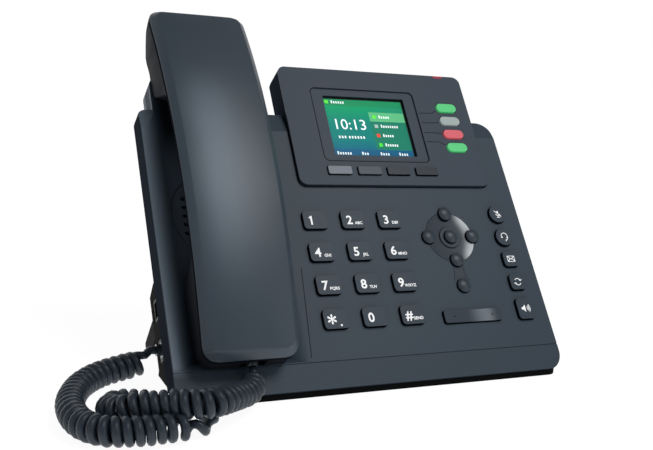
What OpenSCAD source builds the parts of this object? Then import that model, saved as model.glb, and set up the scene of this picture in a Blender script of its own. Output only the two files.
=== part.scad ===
// Desk telephone with a colour display, a lift-off handset and a curly cord.
// Millimetres. +Z is up, the front faces -Y, and the phone stands on Z = 0.

/* [Body] */
// Width of the body across the front
body_w = 209; // [205:1:220]
// Angle of the front panel above the table
panel_tilt = 53; // [50:1:56]
// Length of the front housing along the slope
panel_top = 157; // [155:0.5:160]
// Depth of the front housing behind the panel face
front_depth = 12; // [11:0.5:13]
// Thickness of the moulded skins
skin = 2.4; // [2:0.1:2.6]

/* [Display] */
// Width of the display housing
display_w = 115.9; // [112:0.1:117]
// Distance of its top edge up the slope
display_top = 185.7; // [182:0.1:190]
// Distance of its bottom edge up the slope
display_bottom = 112.2; // [111.5:0.1:113]
// Height of its face above the panel
display_rise = 2; // [1:0.1:3]
// Width of the visible screen
screen_w = 50.3; // [48:0.1:51]
// Height of the visible screen
screen_h = 37.8; // [36:0.1:38.4]

/* [Keys] */
// Width of a dialling key
dial_key_w = 12.9; // [11:0.1:14]
// Height of a dialling key
dial_key_h = 9.9; // [8:0.1:11]
// Distance between the dialling key columns
dial_pitch_u = 21.3; // [20:0.1:22]
// Distance between the dialling key rows
dial_pitch_v = 17.87; // [16:0.01:18.5]
// Height of the keys above the panel
key_rise = 1.8; // [1.4:0.1:2.4]
// Gap between a key and the edge of its opening
key_gap = 0.4; // [0.35:0.05:0.5]

/* [Handset] */
// Length of the handset along the slope
handset_len = 190; // [184:0.5:192]
// Width of the handset at its lower end
handset_w_low = 45.5; // [42:0.5:47]
// Width of the handset at its upper end
handset_w_high = 50.8; // [46:0.2:51.4]
// Radius of the long arc of the handset's outer face
handset_arc = 325; // [300:5:400]
// Width of the chamfer round the outer face
handset_chamfer = 3.2; // [2:0.1:4]

/* [Cord] */
// Outer diameter of the curly cord's coil
coil_d = 12.6; // [11.6:0.2:12.8]
// Diameter of the cord's straight ends
lead_d = 3.9; // [3.5:0.1:4.5]

/* [Hidden] */
$fn = 48;
e = 0.01;
key_names = ["key_1", "key_2", "key_3", "key_4", "key_5", "key_6", "key_7", "key_8", "key_9",
             "key_star", "key_0", "key_hash"];
soft_names = ["soft_key_1", "soft_key_2", "soft_key_3", "soft_key_4"];
line_names = ["line_key_1", "line_key_2", "line_key_3", "line_key_4"];
nav_names = ["nav_up", "nav_right", "nav_down", "nav_left"];
function_names = ["mute_key", "headset_key", "message_key", "redial_key", "speaker_key"];

shell_color = [0.25, 0.29, 0.33];
dark_color = [0.10, 0.11, 0.13];
key_color = [0.27, 0.31, 0.35];

// Shift that puts the middle of the phone's depth over the origin.
panel_y = -61.2;

// The panel frame: u runs right from the body's left edge, v up the slope, w out of the panel.
panel_low = 4.2;
crease_v = 145;
top_drop = 2.8;
display_u = 79;
display_mid_u = display_u + display_w / 2;
display_mid_v = (display_bottom + display_top) / 2;
display_h = display_top - display_bottom;
hood_back = -12.8;
hood_low = 157.8;
hood_cut = 4;
display_back = -9;
display_r = 4.5;
bay_gap = 0.6;
screen_u = 128;
screen_v = 149.4;
bezel_u = 127.9;
bezel_v = 149.7;
bezel_w = 64.1;
bezel_h = 46.2;
lamp_u = 180.6;
lamp_len = 6;

// Key openings in the panel: u, v, width, height and corner radius.
dial_u = 83;
dial_v = 91.9;
function dial_at(i) = [dial_u + (i % 3) * dial_pitch_u, dial_v - floor(i / 3) * dial_pitch_v];
soft_u = 102.8;
soft_pitch = 17.6;
soft_v = 120.5;
soft_w = 13.5;
soft_h = 4.6;
line_u = 180;
line_v = 162.9;
line_pitch = 8.8;
line_w = 12.8;
line_h = 5.4;
nav_u = 160.8;
nav_v = 81.5;
nav_reach = 13.7;
nav_r = 3.75;
ring_r = 14.4;
ring_hub_r = 6.2;
cancel_v = 53;
ok_r = 3.7;
function_keys = [[194.5, 94.5, 10.2, 10.2, 5], [194.5, 80.4, 10.2, 10.2, 5], [194.5, 67, 9.2, 8.6, 2],
                 [194.5, 53.4, 9.2, 8.6, 2], [194.5, 38, 10, 11.4, 2]];
rocker = [161, 36, 34.2, 6.6, 1.2];

// Cradle trough: part of a cylinder that lies along the slope.
handset_u = 33.5;
trough_r = 58.4;
trough_axis_w = 50.4;
trough_low = 18.5;
edge_r = 15;
edge_out = 33.32;
edge_in = 26.5;
edge_drop = 1.63;
grille_v = 98.5;
grille_r = 23;
tongue_top = 178;
hook_v = 44;

// Screws: places of the four screws that join the housings.
screw_at = [[69, 36], [183.8, 36], [69, 120], [201, 125]];
screw_head_w = -15.2;

// Handset frame.
handset_low = 17.5;
handset_top = handset_low + handset_len;
handset_peak_w = 29.5;
handset_peak_v = 112;
parting = 6;
shell_t = 2;
corner_r = 7;
jack_du = 2;
jack_w = 5;

// Ports in the left wall of the rear housing.
side_wall_u = 3;
port_w = -25;
handset_port_v = 37.5;
headset_port_v = 58;

// Route of the curly cord from the handset to the base: x, y from the panel's foot, z, and radius.
coil_r = coil_d / 2;
lead_r = lead_d / 2;
cord_route = [
  [-69, 5.7, 15.87, lead_r], [-69.2, 3.4, 13, lead_r], [-70.4, 0, 10.8, 6], [-74.5, -6, 9.6, coil_r],
  [-81, -12, 10.6, coil_r], [-88.5, -19.5, 12.4, coil_r], [-97, -25.5, 13.6, coil_r],
  [-105, -25, 13.8, coil_r], [-113, -21, 13, coil_r], [-121, -18, 11.8, coil_r],
  [-127.5, -15.5, 10.8, coil_r], [-132.5, -11.5, 8.6, coil_r], [-134.5, -5, 6.8, coil_r],
  [-130.5, 1, 6.4, coil_r], [-123, 0, 6.4, coil_r], [-116, -4, 6.4, coil_r], [-109, -7.2, 6.4, coil_r],
  [-102.5, -9.5, 5.8, 5.6], [-97, -12, 4.6, 4.4], [-94.5, -16.5, 3.3, 3.1], [-96.5, -22, 3.2, 3],
  [-101.5, -27, 3.6, 3.4], [-107, -29, 4.8, 4.6], [-114, -29.5, 6.3, 6], [-124, -29.5, 6.4, coil_r],
  [-133, -28.5, 6.4, coil_r], [-141, -25.5, 6.4, coil_r], [-147, -18, 6.4, coil_r],
  [-149.5, -7, 6.4, coil_r], [-149, 5, 6.4, coil_r], [-146, 16, 6.6, coil_r], [-140.5, 26.5, 7, coil_r],
  [-132, 34.5, 7.8, coil_r], [-122, 38.5, 8.8, coil_r], [-114, 41, 9.6, coil_r], [-110.2, 42.2, 12.3, 3.6],
  [-107.4, 42.5, 14.9, lead_r], [-104.1, 42.5, 14.9, lead_r]];

module both_sides() {
  children();
  mirror([1, 0, 0]) children();
}

module on_panel() {
  translate([-body_w / 2, panel_y, 0]) rotate([panel_tilt, 0, 0]) children();
}

// Extrudes a v-w outline along u.
module along_u(low, high) {
  translate([low, 0, 0]) rotate([90, 0, 90]) linear_extrude(high - low) children();
}

module rounded(w, h, r) {
  square([w - 2 * r, h], center = true);
  square([w, h - 2 * r], center = true);
  for (x = [-1, 1], y = [-1, 1]) translate([x * (w / 2 - r), y * (h / 2 - r)]) circle(r);
}

// A rounded slab between two heights above the panel, centred on u, v.
module slab(u, v, w, h, r, low, high) {
  translate([u, v, low]) linear_extrude(high - low) rounded(w, h, r);
}

module disc(u, v, r, low, high) {
  translate([u, v, low]) cylinder(r = r, h = high - low);
}

// Turns a point of the panel's v-w plane into world y and z, before the shift to the origin.
function yz(v, w) = [v * cos(panel_tilt) - w * sin(panel_tilt), v * sin(panel_tilt) + w * cos(panel_tilt)];

// Joins rings of points, all with the same even count, into one solid. Each flat end is closed by
// strips between the first and second halves of its ring, so a ring may be a thin open channel.
module loft(rings) {
  n = len(rings[0]);
  m = len(rings);
  polyhedron(points = [for (ring = rings) each ring],
             faces = concat([for (i = [0:n / 2 - 2]) [n - 1 - i, n - 2 - i, i + 1, i]],
                            [for (k = [0:m - 2], i = [0:n - 1])
                               [k * n + i, k * n + (i + 1) % n, (k + 1) * n + (i + 1) % n]],
                            [for (k = [0:m - 2], i = [0:n - 1])
                               [k * n + i, (k + 1) * n + (i + 1) % n, (k + 1) * n + i]],
                            [for (i = [0:n / 2 - 2])
                               [for (j = [i, i + 1, n - 2 - i, n - 1 - i]) (m - 1) * n + j]]));
}

// ---- Front housing ----

module body_outline() {
  radii = [8, 10, 8, 5];
  corners = [[radii[0], panel_low + radii[0]], [body_w - radii[1], panel_low + radii[1]],
             [body_w - radii[2], panel_top - radii[2]], [radii[3], panel_top - radii[3]]];
  polygon([[radii[0], panel_low], [body_w - radii[1], panel_low], [body_w, panel_low + radii[1]],
           [body_w, panel_top - radii[2]], [body_w - radii[2], panel_top], [radii[3], panel_top],
           [0, panel_top - radii[3]], [0, panel_low + radii[0]]]);
  for (i = [0:3]) translate(corners[i]) circle(radii[i]);
}

// The cradle's hollow, grown by g for the skin beneath it. Its long edges roll over into the panel.
module trough(g) {
  long = tongue_top + 20;
  intersection() {
    union() {
      translate([handset_u, 0, trough_axis_w])
        rotate([-90, 0, 0]) cylinder(r = trough_r + g, h = long, $fn = 160);
      if (g == 0) translate([handset_u, 0, 0]) both_sides() difference() {
        translate([edge_in, 0, -edge_drop]) cube([edge_out - edge_in, long, 20]);
        translate([edge_out, -1, -edge_r]) rotate([-90, 0, 0]) cylinder(r = edge_r, h = long + 2, $fn = 120);
      }
    }
    along_u(handset_u - 40, handset_u + 40)
      polygon([[trough_low - g, 30], [trough_low - g, 0], [trough_low + 10, -9.5 - 1.4 * g],
               [trough_low + 11, -20], [tongue_top + 10, -20], [tongue_top + 10, 30]]);
  }
}

// The opening that the handset's hook tab stands in.
module tab_hole() {
  slab(handset_u, 150, 11, 3.4, 1, -front_depth, 0);
}

module cradle_tongue() {
  difference() {
    slab(handset_u, 164, 51, 28, 7, -17, 0);
    translate([0, 0, -20]) cube([90, panel_top - skin, 8.1]);
    trough(0);
    tab_hole();
  }
}

module nav_outline(grow) {
  neck_low = cancel_v + 3;
  neck_high = nav_v - ring_r + 2;
  difference() {
    union() {
      translate([nav_u, nav_v]) circle(ring_r + grow);
      polygon([for (s = [-1, 1], i = [0:10])
                 let (t = s > 0 ? 1 - i / 10 : i / 10)
                 [nav_u + s * (2.9 + 1.6 * pow(2 * t - 1, 2) + grow),
                  neck_low + t * (neck_high - neck_low)]]);
    }
    translate([nav_u, nav_v]) circle(ring_hub_r - grow);
  }
}

function nav_at(i) = [nav_u + nav_reach * sin(90 * i), nav_v + nav_reach * cos(90 * i)];

module panel_openings() {
  low = -front_depth;
  for (i = [0:11])
    slab(dial_at(i)[0], dial_at(i)[1], dial_key_w + 2 * key_gap, dial_key_h + 2 * key_gap,
         2 + key_gap, low, 1);
  for (k = function_keys)
    slab(k[0], k[1], k[2] + 2 * key_gap, k[3] + 2 * key_gap, k[4] + key_gap - e, low, 1);
  slab(rocker[0], rocker[1], rocker[2] + 2 * key_gap + 0.4, rocker[3] + 2 * key_gap,
       rocker[4] + key_gap, low, 1);
  for (i = [0:3]) disc(nav_at(i)[0], nav_at(i)[1], nav_r + key_gap, low, 1);
  disc(nav_u, nav_v, ok_r + key_gap, low, 1);
  disc(nav_u, cancel_v, nav_r + key_gap, low, 1);
}

// Short slots in the floor of the trough, in rows across a circle.
module grille_slots() {
  row = 4.7;
  for (j = [-4:4]) {
    reach = sqrt(pow(grille_r - 4, 2) - pow(j * row, 2));
    count = floor(reach / 5);
    for (i = [-count:count])
      slab(handset_u + i * 5, grille_v + j * row, 3.4, 2.2, 1.09, -front_depth, 0);
  }
}

module front_housing() {
  seam = 0.5;
  color(shell_color) on_panel() {
    difference() {
      intersection() {
        along_u(0, body_w)
          polygon([[panel_low, 0], [crease_v, 0], [panel_top, -top_drop], [panel_top, -front_depth],
                   [panel_low + front_depth * cos(panel_tilt) / sin(panel_tilt), -front_depth]]);
        translate([0, 0, -20]) linear_extrude(30) body_outline();
      }
      difference() {
        along_u(skin, body_w - skin)
          polygon([[9, -skin], [crease_v, -skin], [panel_top - skin, -skin - top_drop],
                   [panel_top - skin, -front_depth - 1], [16.8, -front_depth - 1]]);
        trough(2.2);
        for (p = screw_at) disc(p[0], p[1], 3.6, -front_depth, 0);
      }
      trough(0);
      slab(display_mid_u, display_bottom - bay_gap + 30, display_w + 2 * bay_gap, 60, display_r + bay_gap,
           display_back - bay_gap, 10);
      panel_openings();
      translate([0, 0, -1.3]) linear_extrude(2) nav_outline(0.25);
      grille_slots();
      difference() {
        disc(handset_u, grille_v, grille_r, -30, 1);
        disc(handset_u, grille_v, grille_r - 0.6, -31, 2);
        translate([handset_u, 0, trough_axis_w]) rotate([-90, 0, 0])
          difference() {
            cylinder(r = trough_r + 30, h = 200, $fn = 160);
            translate([0, 0, -1]) cylinder(r = trough_r + 0.6, h = 202, $fn = 160);
          }
      }
      translate([-1, 17.8 - seam / 2, -0.4]) cube([body_w + 2, seam, 1]);
      translate([68.2, 34, -0.4]) rotate([0, 0, -4.6]) translate([-seam / 2, -14, 0]) cube([seam, 46, 1]);
      slab(handset_u, hook_v, 8.8, 14.8, 2, -front_depth, 0);
      tab_hole();
      for (p = screw_at) disc(p[0], p[1], 1.3, -front_depth - 1, -3.8);
    }
    cradle_tongue();
  }
}

// ---- Rear housing and stand ----

rear_front = 2.9;
rear_corner_r = 7;

module rear_profile() {
  polygon([[rear_front, 0.3], [rear_front, 3], [17.4, 3], yz(14.4, -12.2), yz(154, -12.2), yz(154, -17),
           yz(72.2, -17), yz(71, -25), yz(67.5, -34), yz(30.2, -34), [46, 1], [7, 1], [6, 0.3]]);
}

// The rear housing seen from above, with its two front corners rounded.
module rear_plan() {
  wide = body_w / 2 - side_wall_u;
  narrow = wide - rear_corner_r;
  translate([-wide, rear_front + rear_corner_r]) square([2 * wide, 200]);
  translate([-narrow, rear_front]) square([2 * narrow, 20]);
  for (s = [-1, 1]) translate([s * narrow, rear_front + rear_corner_r]) circle(rear_corner_r);
}

module rear_hollow() {
  polygon([[19.6, 3.2], yz(18.6, -11), yz(151.6, -11), yz(151.6, -14.8), yz(70.4, -14.8),
           yz(69, -23.6), yz(66, -31.8), yz(31.4, -31.8), [44, 3.2]]);
}

module hump_profile(t) {
  polygon([yz(60, -15 + t), yz(60, -30 + t), yz(138 - t, -30 + t), yz(151 - t, -17 + t), yz(151 - t, -12)]);
}

module world_section() {
  translate([0, panel_y, 0]) children();
}

// The pockets that the sockets on the back look out of.
jack_row_v = 50;
lan_u = [96, 116];
power_u = 138;

module rear_housing() {
  half = body_w / 2;
  color(dark_color) {
    difference() {
      union() {
        difference() {
          intersection() {
            world_section() along_u(side_wall_u - half, half - side_wall_u) rear_profile();
            world_section() linear_extrude(200) rear_plan();
          }
          world_section() along_u(side_wall_u + 2.2 - half, half - side_wall_u - 2.2) rear_hollow();
        }
        difference() {
          world_section() along_u(10 - half, half - 10) hump_profile(0);
          world_section() along_u(12.2 - half, half - 12.2) hump_profile(2.2);
          world_section() along_u(side_wall_u - half, half - side_wall_u)
            polygon([yz(40, -13), yz(40, -31.8), yz(66, -31.8), yz(69, -23.6), yz(69, -13)]);
        }
      }
      world_section() along_u(14 - half, half - 14)
        polygon([yz(66, -12.5), yz(66, -27.8), yz(134, -27.8), yz(148, -14.8), yz(148, -12.5)]);
      on_panel() {
        for (u = lan_u) slab(u, jack_row_v, 16.6, 14.6, 0.5, -36, -30);
        slab(power_u, jack_row_v, 9.8, 11.4, 0.5, -36, -30);
        for (v = [handset_port_v, headset_port_v]) side_block(v, 0.15, 0, 8);
        for (u = [13, body_w - 13], v = [50.5, 61]) slab(u, v, 6.4, 5.4, 0.5, -36, -30);
        for (p = screw_at) disc(p[0], p[1], 4.4, -40, -12);
      }
    }
    on_panel() difference() {
      for (i = [0:3]) disc(screw_at[i][0], screw_at[i][1], 5, [-34, -34, -30, -17][i], -12.2);
      for (p = screw_at) {
        disc(p[0], p[1], 1.6, -40, 0);
        disc(p[0], p[1], 3.3, -40, screw_head_w);
      }
    }
  }
}

// A block along u in the left wall, used by the ports and their openings.
module side_block(v, grow, low, high) {
  translate([low, v - 5.6 - grow, port_w - 5.2 - grow]) cube([high - low, 11.2 + 2 * grow, 10.4 + 2 * grow]);
}

arm_u = 7;
arm_w = 12;
foot_y = 90;

module stand() {
  half = body_w / 2;
  color(dark_color) {
    both_sides() {
      world_section() along_u(arm_u - half, arm_u + arm_w - half)
        polygon([yz(65, -34.2), yz(54, -34.2), [77, 4], [78, 1],
                 [foot_y - 1, 1], [foot_y, 3], [foot_y - 3, 7]]);
      on_panel() slab(13, 61, 5.8, 4.8, 0.5, -34.3, -31.9);
    }
    difference() {
      world_section() along_u(arm_u - half, half - arm_u)
        polygon([[77, 4], [78, 1], [foot_y - 1, 1], [foot_y, 3], [foot_y - 3, 7]]);
      world_section() along_u(-20, 20) polygon([[70, 0], [82, 0], [82, 10], [70, 10]]);
    }
  }
}

module rubber_feet() {
  foot_r = 3.4;
  color([0.05, 0.05, 0.06]) for (s = [-1, 1]) {
    translate([s * 84, panel_y + 12, 0]) linear_extrude(1) rounded(26, 7, 3);
    translate([s * 84, panel_y + 40, 0]) linear_extrude(1) rounded(26, 7, 3);
    translate([s * 88, panel_y + 84, 0]) linear_extrude(1) rounded(18, 7, foot_r);
  }
}

module housing_screws() {
  color("silver") on_panel() for (p = screw_at) {
    difference() {
      disc(p[0], p[1], 3, screw_head_w - 1.9, screw_head_w);
      translate([p[0], p[1], screw_head_w - 2]) linear_extrude(1.2) {
        square([3.6, 0.8], center = true);
        square([0.8, 3.6], center = true);
      }
    }
    disc(p[0], p[1], 1.25, screw_head_w - e, -4.2);
  }
}

// ---- Display ----

// The display's body, shrunk by t for its hollow, which is open towards the panel below the hood.
module display_block(t, top) {
  low = t > 0 ? hood_back - 5 : display_back;
  cut = hood_cut + t * 0.41;
  intersection() {
    slab(display_mid_u, display_mid_v, display_w - 2 * t, display_h - 2 * t, display_r - t * 0.75, -30, top);
    along_u(0, body_w)
      polygon([[display_bottom - 1, 10], [display_bottom - 1, low], [hood_low, low],
               [hood_low, hood_back + t], [display_top - cut, hood_back + t],
               [display_top - t, hood_back + cut], [display_top - t, 10]]);
  }
}

module display_housing() {
  face_t = 1.6;
  wall = 2;
  color(shell_color) on_panel() difference() {
    display_block(0, display_rise);
    display_block(wall, display_rise - face_t);
    slab(bezel_u, bezel_v, bezel_w, bezel_h, 3, display_rise - 0.5, display_rise + 1);
    slab(screen_u, screen_v, screen_w, screen_h, 0.6, -1, display_rise + 1);
    for (i = [0:3]) {
      slab(soft_u + i * soft_pitch, soft_v, soft_w + 2 * key_gap, soft_h + 2 * key_gap,
           1, -1, display_rise + 1);
      slab(line_u, line_v - i * line_pitch, line_w + 2 * key_gap, line_h + 2 * key_gap,
           line_h / 2 + key_gap - e, -1, display_rise + 1);
    }
    translate([lamp_u - lamp_len / 2, display_top - 1.6, -6.2]) cube([lamp_len, 3, 20]);
  }
}

module display_lens() {
  color([0.1, 0.12, 0.14, 0.4]) on_panel() slab(screen_u, screen_v, screen_w + 5, screen_h + 4, 1, -0.5, 0.3);
}

module lcd_panel() {
  color([0.05, 0.45, 0.42]) on_panel() slab(screen_u, screen_v, screen_w + 5, screen_h + 6, 0.5, -3.6, -0.55);
}

module message_lamp() {
  color([0.85, 0.1, 0.2]) on_panel()
    translate([lamp_u - lamp_len / 2 + 0.1, display_top - 1.5, -6.1])
      cube([lamp_len - 0.2, 1.5, display_rise + 6.1]);
}

// ---- Keys ----

// A cap that passes through its opening, over a flange that holds it under the skin.
module key(u, v, w, h, r, under, rise) {
  slab(u, v, w, h, r, under - 1.6, rise);
  slab(u, v, w + 2, h + 2, r + 0.6, under - 1.6, under - 0.4);
}

// A round key with a domed top.
module dome_key(u, v, r) {
  dome_r = 7;
  intersection() {
    disc(u, v, r, -skin - 1.6, key_rise + 2);
    translate([u, v, key_rise + 0.6 - dome_r]) sphere(dome_r, $fn = 64);
  }
  disc(u, v, r + 1, -skin - 1.6, -skin - 0.4);
}

module dial_key(i) {
  color(key_color) on_panel()
    key(dial_at(i)[0], dial_at(i)[1], dial_key_w, dial_key_h, 2, -skin, key_rise);
}

module soft_key(i) {
  color([0.38 - 0.04 * i, 0.42 - 0.04 * i, 0.46 - 0.04 * i]) on_panel()
    key(soft_u + i * soft_pitch, soft_v, soft_w, soft_h, 0.8, 0.4, display_rise + 1.2);
}

module line_key(i) {
  shades = [[0.25, 0.8, 0.4], [0.72, 0.75, 0.75], [0.85, 0.25, 0.32], [0.25, 0.8, 0.4]];
  color(shades[i]) on_panel()
    key(line_u, line_v - i * line_pitch, line_w, line_h, line_h / 2 - e, 0.4, display_rise + 1);
}

module nav_key(i) {
  color(key_color) on_panel() dome_key(nav_at(i)[0], nav_at(i)[1], nav_r);
}

module function_key(i) {
  k = function_keys[i];
  color(key_color) on_panel() key(k[0], k[1], k[2], k[3], k[4] - e, -skin, key_rise);
}

module ok_key() {
  color(key_color) on_panel() dome_key(nav_u, nav_v, ok_r);
}

module cancel_key() {
  color(key_color) on_panel() dome_key(nav_u, cancel_v, nav_r);
}

// The rocker tips on two studs under the panel's skin.
module volume_rocker() {
  dish_r = 400;
  stud_r = 0.7;
  color([0.35, 0.38, 0.42]) on_panel() difference() {
    union() {
      slab(rocker[0], rocker[1], rocker[2], rocker[3], rocker[4], -4.2, 1.6);
      slab(rocker[0], rocker[1], rocker[2] + 1.6, rocker[3] + 1.6, rocker[4], -4.2, -3.6);
      translate([rocker[0], rocker[1] - rocker[3] / 2 - 1.6, -4.2 + stud_r]) rotate([-90, 0, 0])
        cylinder(r = stud_r, h = rocker[3] + 3.2);
    }
    translate([rocker[0], rocker[1], dish_r + 1.3]) rotate([90, 0, 0])
      cylinder(r = dish_r, h = 20, center = true, $fn = 300);
  }
}

module nav_ring() {
  dish_r = 130;
  color([0.5, 0.53, 0.56]) on_panel() difference() {
    translate([0, 0, -1.2]) linear_extrude(1.2) nav_outline(0);
    translate([nav_u, nav_v, dish_r - 0.8]) sphere(dish_r, $fn = 200);
    for (i = [0:3]) disc(nav_at(i)[0], nav_at(i)[1], nav_r + key_gap, -3, 3);
    disc(nav_u, cancel_v, nav_r + key_gap, -3, 3);
  }
}

// ---- Inside the base ----

module key_membrane() {
  color([0.6, 0.6, 0.58]) on_panel() {
    difference() {
      translate([75, 25, -6.4]) cube([127.4, 84, 0.8]);
      disc(screw_at[1][0], screw_at[1][1], 4.2, -7, -5);
    }
    translate([94, 115, -3.4]) cube([71, 9, 0.8]);
    translate([171, 131.5, -3.4]) cube([18, 36, 0.8]);
  }
}

module main_board() {
  color([0.05, 0.3, 0.15]) on_panel() difference() {
    union() {
      translate([75, 25, -8.2]) cube([127.4, 84, 1.6]);
      slab(120, 84, 17, 17, 0.5, -9.6, -8.2);
      slab(96, 80, 11, 11, 0.5, -9.4, -8.2);
      slab(165, 70, 14, 10, 0.5, -9.4, -8.2);
    }
    disc(screw_at[1][0], screw_at[1][1], 4.2, -12, -5);
  }
}

module loudspeaker() {
  color([0.08, 0.08, 0.09]) on_panel() {
    disc(handset_u, grille_v, 17, -15, -12.6);
    disc(handset_u, grille_v, 11, -21, -15);
    disc(handset_u, grille_v, 13, -27, -21);
  }
}

module network_jacks() {
  color([0.15, 0.15, 0.16]) on_panel() for (u = lan_u) {
    difference() {
      slab(u, jack_row_v, 16, 14, 0.4, -33.8, -8.3);
      slab(u, jack_row_v, 11.8, 7.6, 0.2, -36, -19);
      slab(u, jack_row_v - 4.6, 6.2, 4, 0.2, -36, -24);
    }
    for (i = [0:7]) translate([u - 3.6 + i * 1.02 - 0.15, jack_row_v + 3.2, -32]) cube([0.3, 0.7, 12]);
  }
}

module power_jack() {
  color([0.12, 0.12, 0.13]) on_panel() {
    difference() {
      slab(power_u, jack_row_v, 9.2, 10.8, 0.4, -33.8, -8.3);
      disc(power_u, jack_row_v, 2.85, -36, -24);
    }
    disc(power_u, jack_row_v, 1, -32.5, -23.9);
  }
}

module audio_ports() {
  color([0.14, 0.14, 0.15]) on_panel() for (v = [handset_port_v, headset_port_v]) difference() {
    side_block(v, 0, side_wall_u + 0.3, side_wall_u + 15);
    translate([side_wall_u - 1, v - 3.9, port_w - 3.5]) cube([13, 7.8, 7]);
  }
}

module hook_switch() {
  color(dark_color) on_panel() {
    slab(handset_u, hook_v, 8, 14, 1.6, -13.5, -6.6);
    slab(handset_u, hook_v, 10.4, 16.4, 1.6, -15, -13.5);
  }
}

module handset_hook_tab() {
  color(dark_color) on_panel() slab(handset_u, 150, 10.4, 2.8, 0.8, -11.9, -5);
}

// ---- Handset ----

function mix(a, b, t) = a + (b - a) * t;
function smooth(x) = let (t = min(1, max(0, x))) t * t * (3 - 2 * t);

// Height of the outer face, and half the width, at a distance v up the slope.
function face_w(v) = handset_peak_w - pow(v - handset_peak_v, 2) / (2 * handset_arc);
function end_gap(v) = min(v - handset_low, handset_top - v);
function corner_inset(v) = corner_r - sqrt(pow(corner_r, 2) - pow(max(0, corner_r - end_gap(v)), 2));
function full_half(v) = mix(handset_w_low, handset_w_high, (v - handset_low) / handset_len) / 2;
function half_w(v) = full_half(v) - corner_inset(v);

// Half the width of the flat of the outer face, inside a chamfer of even width.
function top_half(v) =
  let (r = corner_r - handset_chamfer, g = end_gap(v) - handset_chamfer,
       inset = g < 0 ? r : r - sqrt(pow(r, 2) - pow(max(0, r - g), 2)))
  min(half_w(v) - 0.2, full_half(v) - handset_chamfer - inset);
function face_drop(v) = max(0, handset_chamfer - 0.2 - end_gap(v));
function part_w(v) = face_w(v) - parting;

// 1 along the grip, 0 at the mouthpiece and the earpiece.
function grip(v) = smooth((v - 54) / 16) * smooth((166 - v) / 16);
function end_rise(v) = max(0, (27 - v) * 0.9, (v - 191) * 1.09);
function under_w(v) = min(part_w(v) - 1.4, mix(-6.2, 8, grip(v)) + end_rise(v));
function side_base(v) = mix(-2.2, -4.5, smooth((v - 178) / 10));
function side_low_w(v) = min(part_w(v) - 0.9, mix(side_base(v), part_w(v) - 2, grip(v)) + end_rise(v) * 0.7);
function under_half(v) = mix(12, 15.5, grip(v)) - corner_inset(v) * 0.5;

end_steps = [0, 0.5, 1.3, 2.3, 3.2, 4.2, 5.5, 7];
handset_stations = concat([for (d = end_steps) handset_low + d],
                          [for (v = [28, 34, 42, 50, 54, 58, 62, 66, 70, 82, 96, 110, 124, 138, 150]) v],
                          [for (v = [154, 158, 162, 166, 172, 178, 182, 186, 190, 195]) v],
                          [for (i = [7:-1:0]) handset_top - end_steps[i]]);

// How far the middle of the outer face stands above its edges.
function crown(v) = 1 * smooth(end_gap(v) / 14);

// Depth of a shell's hollow: a shallow groove in the two solid ends.
function hollow(v) = end_gap(v) < 3.6 ? 0.25 : 1;

function outer_ring(v) =
  let (a = half_w(v), f = face_w(v), c = handset_chamfer, p = part_w(v), t = shell_t,
       top = f - face_drop(v), h = hollow(v), b = top_half(v), x = b / 2, y = top + crown(v),
       roof = mix(p, f - t, h < 1 ? 0.06 : 1), shoulder = mix(p, f - c - 0.8, h < 1 ? 0.03 : 1))
  [for (q = [[-a, p], [-a, f - c], [-b, top], [-x, y - crown(v) / 4], [0, y], [x, y - crown(v) / 4],
             [b, top], [a, f - c], [a, p],
             [a - t, p], [a - t, shoulder], [b - 1, roof], [x, roof], [0, roof], [-x, roof],
             [-b + 1, roof], [-a + t, shoulder], [-a + t, p]])
     [handset_u - q[0], v, q[1]]];

function inner_ring(v) =
  let (a = half_w(v), p = part_w(v), s = side_low_w(v), m = under_w(v), b = under_half(v), t = shell_t,
       d = mix(0.5, 1.4, grip(v)), h = hollow(v) < 1 || p - m < 5 ? 0.05 : 1,
       floor_w = mix(p, m + t, h), side_w = mix(p, s + t * 0.4, h))
  [for (q = [[a, p], [a - d, s], [b, m], [-b, m], [-a + d, s], [-a, p],
             [-a + t, p], [-a + d + t, side_w], [-b + 0.6, floor_w], [b - 0.6, floor_w],
             [a - d - t, side_w], [a - t, p]])
     [handset_u - q[0], v, q[1]]];

// The notch in the lower end that the cord's plug goes into.
module jack_notch(grow) {
  translate([handset_u + jack_du - 6 - grow, handset_low - 1, jack_w - 4.6 - grow])
    cube([12 + 2 * grow, 8, 9.2 + 2 * grow]);
}

module handset_outer_shell() {
  color(shell_color) on_panel() difference() {
    loft([for (v = handset_stations) outer_ring(v)]);
    jack_notch(0);
  }
}

module handset_inner_shell() {
  color(dark_color) on_panel() difference() {
    loft([for (v = handset_stations) inner_ring(v)]);
    jack_notch(0);
  }
}

module receiver_capsule() {
  color([0.2, 0.2, 0.22]) on_panel() disc(handset_u, 180, 11, -3.6, 3);
}

module microphone_capsule() {
  color([0.7, 0.7, 0.7]) on_panel() disc(handset_u - 12, 44, 4.8, -2.4, 3);
}

module handset_ballast() {
  color([0.5, 0.5, 0.5]) on_panel() slab(handset_u, 112, 20, 50, 1, 11, 17);
}

module handset_jack() {
  color([0.14, 0.14, 0.15]) on_panel() difference() {
    translate([handset_u + jack_du - 5.6, handset_low + 2.8, jack_w - 4.2]) cube([11.2, 14, 8.4]);
    translate([handset_u + jack_du - 3.9, handset_low, jack_w - 3.3]) cube([7.8, 13, 6.6]);
  }
}

// ---- Cord and plugs ----

// A smooth curve through four neighbouring points, at t from 0 to 1 between the middle two.
function bend(a, b, c, d, t) =
  ((2 * b) + (c - a) * t + (2 * a - 5 * b + 4 * c - d) * t * t + (3 * b - a - 3 * c + d) * t * t * t) / 2;

function along(route, i, t) =
  let (n = len(route) - 1, a = i > 0 ? route[i - 1] : 2 * route[0] - route[1],
       d = i + 2 <= n ? route[i + 2] : 2 * route[n] - route[n - 1])
  bend(a, route[i], route[i + 1], d, t);

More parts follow.
